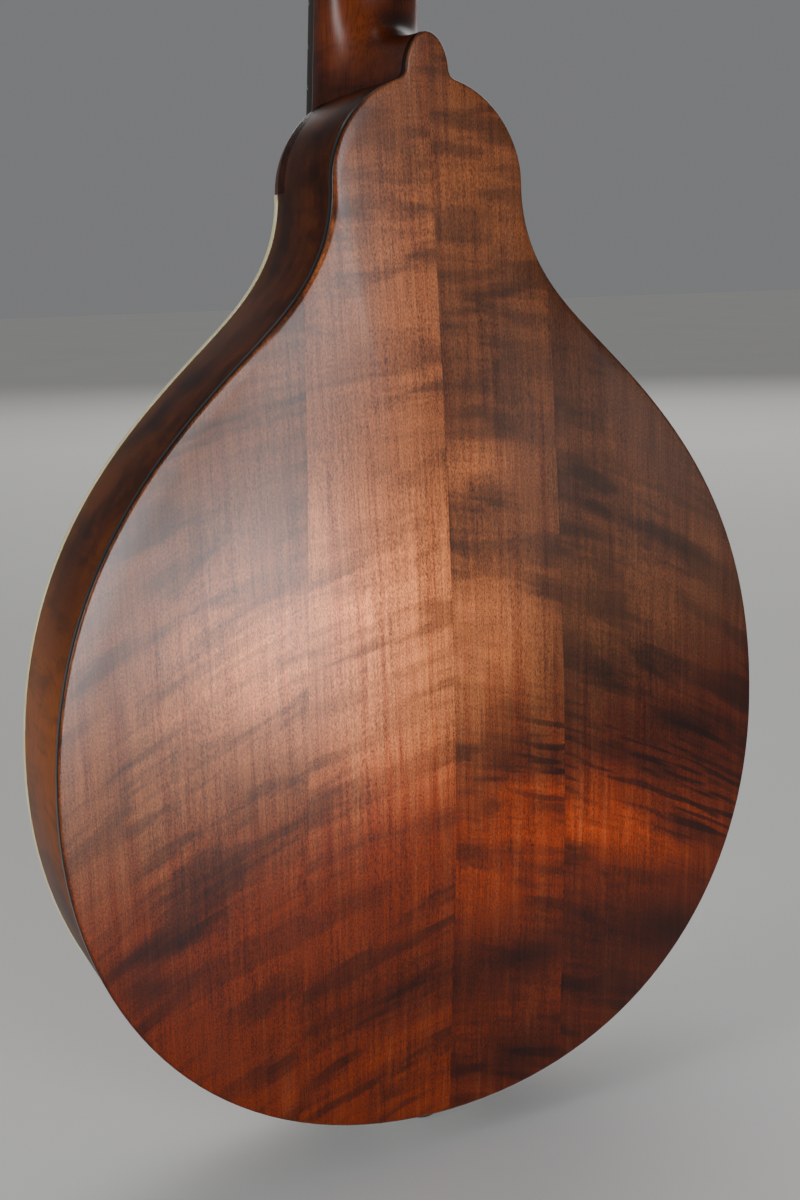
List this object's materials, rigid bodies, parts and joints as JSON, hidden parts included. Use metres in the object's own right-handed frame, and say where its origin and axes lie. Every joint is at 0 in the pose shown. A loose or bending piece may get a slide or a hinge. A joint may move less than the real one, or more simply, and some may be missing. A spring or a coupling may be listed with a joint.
{
  "type": "mandolin",
  "caption": "Teardrop mandolin: arched four-board back, cream-bound soundboard with oval sound hole, geared tuners, height-adjustable bridge, slide-off tailpiece cover.",
  "frame": {"origin": "centre of the end pin's outer face, at the tail", "axes": "+Z along the body towards the neck, +Y out of the soundboard, +X towards the bass strings"},
  "size_m": [0.254, 0.1058, 0.6447],
  "materials": {
    "back": "dark red-brown stain, satin lacquer",
    "rib": "dark red-brown stain, satin lacquer",
    "neck": "red-brown stain, satin lacquer",
    "top": "amber to brown sunburst, satin lacquer",
    "bare": "bare wood",
    "binding": "cream celluloid",
    "ebony": "oiled ebony",
    "veneer": "black, satin lacquer",
    "bone": "polished bone",
    "black": "black, polished",
    "pearloid": "cream buttons on steel shafts",
    "nickel": "polished nickel plate",
    "steel": "plain steel",
    "brass": "brass gear and nickel post",
    "bronze": "phosphor bronze winding"
  },
  "bodies": {
    "body_and_neck": {"back_wing_treble": "back", "back_centre_treble": "back", "back_centre_bass": "back", "back_wing_bass": "back", "rib_treble": "rib", "rib_bass": "rib", "top_treble": "top", "top_bass": "top", "top_binding": "binding", "lining_back_treble": "bare", "lining_back_bass": "bare", "lining_top_treble": "bare", "lining_top_bass": "bare", "neck_block": "bare", "tail_block": "bare", "soundhole_brace": "bare", "neck": "neck", "headstock_veneer": "veneer", "fingerboard": "ebony", "fingerboard_riser": "ebony", "nut": "bone", "truss_rod": "steel", "truss_rod_cover": "black", "tailpiece_base": "nickel", "end_pin": "black", "bridge_base": "ebony", "bridge_stud_treble": "nickel", "bridge_stud_bass": "nickel", "tuner_plate_treble": "nickel", "tuner_plate_bass": "nickel", "string_1": "steel", "string_2": "steel", "string_3": "steel", "string_4": "steel", "string_5": "bronze", "string_6": "bronze", "string_7": "bronze", "string_8": "bronze"},
    "tuner_key_1": {"tuner_key_1": "pearloid"},
    "tuner_post_1": {"tuner_post_1": "brass"},
    "tuner_key_2": {"tuner_key_2": "pearloid"},
    "tuner_post_2": {"tuner_post_2": "brass"},
    "tuner_key_3": {"tuner_key_3": "pearloid"},
    "tuner_post_3": {"tuner_post_3": "brass"},
    "tuner_key_4": {"tuner_key_4": "pearloid"},
    "tuner_post_4": {"tuner_post_4": "brass"},
    "tuner_key_5": {"tuner_key_5": "pearloid"},
    "tuner_post_5": {"tuner_post_5": "brass"},
    "tuner_key_6": {"tuner_key_6": "pearloid"},
    "tuner_post_6": {"tuner_post_6": "brass"},
    "tuner_key_7": {"tuner_key_7": "pearloid"},
    "tuner_post_7": {"tuner_post_7": "brass"},
    "tuner_key_8": {"tuner_key_8": "pearloid"},
    "tuner_post_8": {"tuner_post_8": "brass"},
    "bridge_saddle": {"bridge_saddle": "ebony"},
    "bridge_wheel_treble": {"bridge_wheel_treble": "nickel"},
    "bridge_wheel_bass": {"bridge_wheel_bass": "nickel"},
    "tailpiece_cover": {"tailpiece_cover": "nickel"}
  },
  "joints": [
    {"name": "tuner_key_1_turn", "type": "hinge", "parent": "body_and_neck", "child": "tuner_key_1", "pos_m": [-0.0175, -0.0152, 0.51877], "axis": [-1, 0, 0], "continuous": true},
    {"name": "tuner_post_1_turn", "type": "hinge", "parent": "body_and_neck", "child": "tuner_post_1", "pos_m": [-0.0175, -0.00098, 0.53136], "axis": [0, 0.9478, 0.319], "continuous": true},
    {"name": "tuner_key_2_turn", "type": "hinge", "parent": "body_and_neck", "child": "tuner_key_2", "pos_m": [-0.0175, -0.0227, 0.54104], "axis": [-1, 0, 0], "continuous": true},
    {"name": "tuner_post_2_turn", "type": "hinge", "parent": "body_and_neck", "child": "tuner_post_2", "pos_m": [-0.0175, -0.00847, 0.55363], "axis": [0, 0.9478, 0.319], "continuous": true},
    {"name": "tuner_key_3_turn", "type": "hinge", "parent": "body_and_neck", "child": "tuner_key_3", "pos_m": [-0.0175, -0.03019, 0.56331], "axis": [-1, 0, 0], "continuous": true},
    {"name": "tuner_post_3_turn", "type": "hinge", "parent": "body_and_neck", "child": "tuner_post_3", "pos_m": [-0.0175, -0.01597, 0.57591], "axis": [0, 0.9478, 0.319], "continuous": true},
    {"name": "tuner_key_4_turn", "type": "hinge", "parent": "body_and_neck", "child": "tuner_key_4", "pos_m": [-0.0175, -0.03769, 0.58558], "axis": [-1, 0, 0], "continuous": true},
    {"name": "tuner_post_4_turn", "type": "hinge", "parent": "body_and_neck", "child": "tuner_post_4", "pos_m": [-0.0175, -0.02346, 0.59818], "axis": [0, 0.9478, 0.319], "continuous": true},
    {"name": "tuner_key_5_turn", "type": "hinge", "parent": "body_and_neck", "child": "tuner_key_5", "pos_m": [0.0175, -0.03769, 0.58558], "axis": [1, 0, 0], "continuous": true},
    {"name": "tuner_post_5_turn", "type": "hinge", "parent": "body_and_neck", "child": "tuner_post_5", "pos_m": [0.0175, -0.02346, 0.59818], "axis": [0, 0.9478, 0.319], "continuous": true},
    {"name": "tuner_key_6_turn", "type": "hinge", "parent": "body_and_neck", "child": "tuner_key_6", "pos_m": [0.0175, -0.03019, 0.56331], "axis": [1, 0, 0], "continuous": true},
    {"name": "tuner_post_6_turn", "type": "hinge", "parent": "body_and_neck", "child": "tuner_post_6", "pos_m": [0.0175, -0.01597, 0.57591], "axis": [0, 0.9478, 0.319], "continuous": true},
    {"name": "tuner_key_7_turn", "type": "hinge", "parent": "body_and_neck", "child": "tuner_key_7", "pos_m": [0.0175, -0.0227, 0.54104], "axis": [1, 0, 0], "continuous": true},
    {"name": "tuner_post_7_turn", "type": "hinge", "parent": "body_and_neck", "child": "tuner_post_7", "pos_m": [0.0175, -0.00847, 0.55363], "axis": [0, 0.9478, 0.319], "continuous": true},
    {"name": "tuner_key_8_turn", "type": "hinge", "parent": "body_and_neck", "child": "tuner_key_8", "pos_m": [0.0175, -0.0152, 0.51877], "axis": [1, 0, 0], "continuous": true},
    {"name": "tuner_post_8_turn", "type": "hinge", "parent": "body_and_neck", "child": "tuner_post_8", "pos_m": [0.0175, -0.00098, 0.53136], "axis": [0, 0.9478, 0.319], "continuous": true},
    {"name": "saddle_height", "type": "slide", "parent": "body_and_neck", "child": "bridge_saddle", "axis": [0, 1, 0], "range_m": [-0.00126, 0.0019], "deforming": ["string_1", "string_2", "string_3", "string_4", "string_5", "string_6", "string_7", "string_8"]},
    {"name": "bridge_wheel_treble_turn", "type": "hinge", "parent": "bridge_saddle", "child": "bridge_wheel_treble", "pos_m": [-0.028, 0.045, 0.14728], "axis": [0, 1, 0], "range_deg": [-720, 1080]},
    {"name": "bridge_wheel_bass_turn", "type": "hinge", "parent": "bridge_saddle", "child": "bridge_wheel_bass", "pos_m": [0.028, 0.045, 0.14728], "axis": [0, 1, 0], "range_deg": [-720, 1080]},
    {"name": "tailpiece_cover_slide", "type": "slide", "parent": "body_and_neck", "child": "tailpiece_cover", "axis": [0, 0, -1], "range_m": [0, 0.03]}
  ],
  "couplings": [
    {"joint": "tuner_post_1_turn", "follows": "tuner_key_1_turn", "ratio": -0.071429},
    {"joint": "tuner_post_2_turn", "follows": "tuner_key_2_turn", "ratio": -0.071429},
    {"joint": "tuner_post_3_turn", "follows": "tuner_key_3_turn", "ratio": -0.071429},
    {"joint": "tuner_post_4_turn", "follows": "tuner_key_4_turn", "ratio": -0.071429},
    {"joint": "tuner_post_5_turn", "follows": "tuner_key_5_turn", "ratio": 0.071429},
    {"joint": "tuner_post_6_turn", "follows": "tuner_key_6_turn", "ratio": 0.071429},
    {"joint": "tuner_post_7_turn", "follows": "tuner_key_7_turn", "ratio": 0.071429},
    {"joint": "tuner_post_8_turn", "follows": "tuner_key_8_turn", "ratio": 0.071429},
    {"joint": "bridge_wheel_treble_turn", "follows": "saddle_height", "rad_per_m": 9894.8},
    {"joint": "bridge_wheel_bass_turn", "follows": "saddle_height", "rad_per_m": 9894.8}
  ]
}
